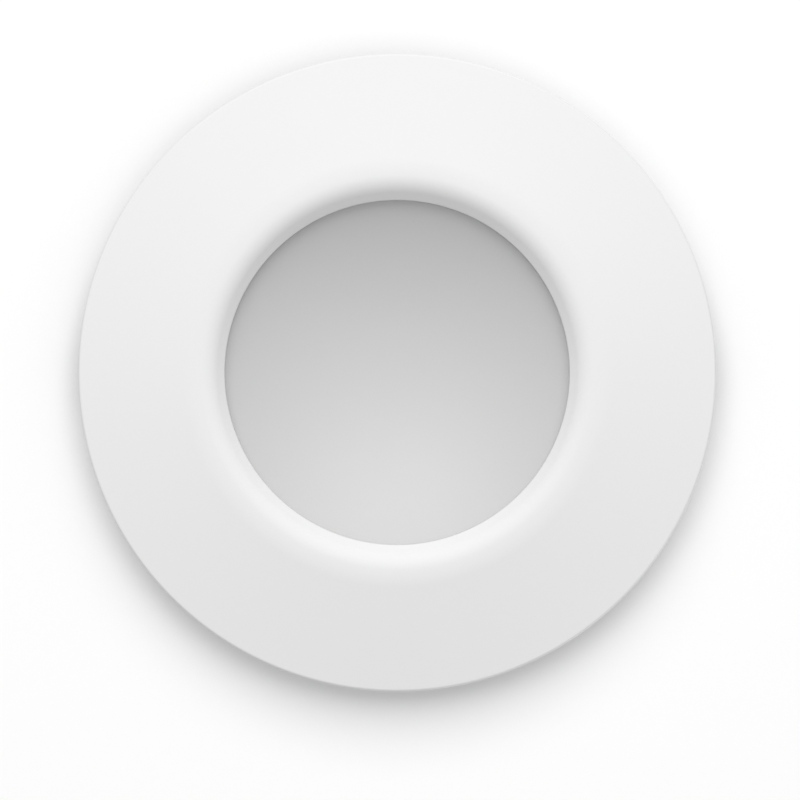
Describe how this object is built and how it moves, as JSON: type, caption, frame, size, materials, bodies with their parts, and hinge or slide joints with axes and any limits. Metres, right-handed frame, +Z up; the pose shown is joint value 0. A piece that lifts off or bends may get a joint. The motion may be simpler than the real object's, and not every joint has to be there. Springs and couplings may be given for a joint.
{
  "type": "recessed ceiling light",
  "caption": "Round recessed ceiling light with a coned white bezel, opal diffuser, sprung side clips, finned heat sink and a driver box with a hinged terminal cover",
  "frame": {"origin": "on the light's axis, in the plane of the ceiling's face where the gasket seats", "axes": "+Z up into the ceiling void, light shines along -Z, cable enters from -Y, clips on +X and -X"},
  "size_m": [0.09, 0.09, 0.0685],
  "materials": {
    "bezel_paint": "satin white powder coat",
    "opal": "matte opal",
    "gasket_rubber": "closed-cell, matte",
    "seal_rubber": "smooth, matte",
    "reflector_white": "gloss white",
    "board_metal": "white solder mask",
    "chip_yellow": "phosphor",
    "connector_plastic": "moulded",
    "pad_grey": "soft, matte",
    "screw_steel": "zinc plated",
    "sink_aluminium": "cast, matte",
    "clip_steel": "stamped, plated",
    "spring_steel": "drawn wire",
    "cap_rubber": "dipped, semi-matte",
    "lead_red": "insulation",
    "lead_black": "insulation",
    "box_plastic": "fine spark texture",
    "board_green": "solder mask",
    "ferrite": "sintered",
    "winding_tape": "tape",
    "capacitor_sleeve": "shrink sleeve",
    "film_red": "dipped",
    "chip_black": "moulded",
    "fuse_sleeve": "sleeve",
    "terminal_grey": "moulded",
    "contact_brass": "tinned brass",
    "button_brown": "moulded",
    "button_green": "moulded",
    "button_blue": "moulded",
    "grommet_rubber": "moulded"
  },
  "bodies": {
    "fixture": {"bezel": "bezel_paint", "ceiling_gasket": "gasket_rubber", "diffuser_seal": "seal_rubber", "diffuser": "opal", "reflector": "reflector_white", "led_board": "board_metal", "led_chips": "chip_yellow", "board_connector": "connector_plastic", "thermal_pad": "pad_grey", "board_screws": "screw_steel", "heat_sink": "sink_aluminium", "heat_sink_seal": "seal_rubber", "heat_sink_screws": "screw_steel", "clip_screws": "screw_steel", "led_lead_positive": "lead_red", "led_lead_negative": "lead_black", "driver_base": "box_plastic", "driver_base_screws": "screw_steel", "driver_board": "board_green", "driver_board_screws": "screw_steel", "transformer_core": "ferrite", "transformer_winding": "winding_tape", "smoothing_capacitor": "capacitor_sleeve", "film_capacitor": "film_red", "output_choke": "ferrite", "driver_chips": "chip_black", "fuse_link": "fuse_sleeve", "terminal_block": "terminal_grey", "terminal_contacts": "contact_brass", "inlet_grommet": "grommet_rubber", "driver_cover": "box_plastic", "driver_cover_screws": "screw_steel", "hinge_pin": "screw_steel", "clip_bracket_right": "clip_steel", "clip_pin_right": "screw_steel", "clip_spring_right": "spring_steel", "clip_bracket_left": "clip_steel", "clip_pin_left": "screw_steel", "clip_spring_left": "spring_steel"},
    "right_clip": {"clip_arm_right": "clip_steel", "clip_cap_right": "cap_rubber"},
    "left_clip": {"clip_arm_left": "clip_steel", "clip_cap_left": "cap_rubber"},
    "terminal_lid": {"terminal_cover": "box_plastic"},
    "live_button": {"terminal_button_live": "button_brown"},
    "earth_button": {"terminal_button_earth": "button_green"},
    "neutral_button": {"terminal_button_neutral": "button_blue"}
  },
  "joints": [
    {"name": "right_clip_swing", "type": "hinge", "parent": "fixture", "child": "right_clip", "pos_m": [0.0302, 0, 0.02554], "axis": [0, -1, 0], "range_deg": [0, 148], "stiffness_Nm_per_rad": 0.02, "springref_deg": -45.84, "deforming": ["clip_spring_right"]},
    {"name": "left_clip_swing", "type": "hinge", "parent": "fixture", "child": "left_clip", "pos_m": [-0.0302, 0, 0.02554], "axis": [0, 1, 0], "range_deg": [0, 148], "stiffness_Nm_per_rad": 0.02, "springref_deg": -45.84, "deforming": ["clip_spring_left"]},
    {"name": "terminal_lid_hinge", "type": "hinge", "parent": "fixture", "child": "terminal_lid", "pos_m": [0, -0.0075, 0.05984], "axis": [-1, 0, 0], "range_deg": [0, 110]},
    {"name": "live_button_press", "type": "slide", "parent": "fixture", "child": "live_button", "axis": [0, 0, -1], "range_m": [0, 0.0012], "stiffness_N_per_m": 60, "springref_m": -0.001},
    {"name": "earth_button_press", "type": "slide", "parent": "fixture", "child": "earth_button", "axis": [0, 0, -1], "range_m": [0, 0.0012], "stiffness_N_per_m": 60, "springref_m": -0.001},
    {"name": "neutral_button_press", "type": "slide", "parent": "fixture", "child": "neutral_button", "axis": [0, 0, -1], "range_m": [0, 0.0012], "stiffness_N_per_m": 60, "springref_m": -0.001}
  ]
}
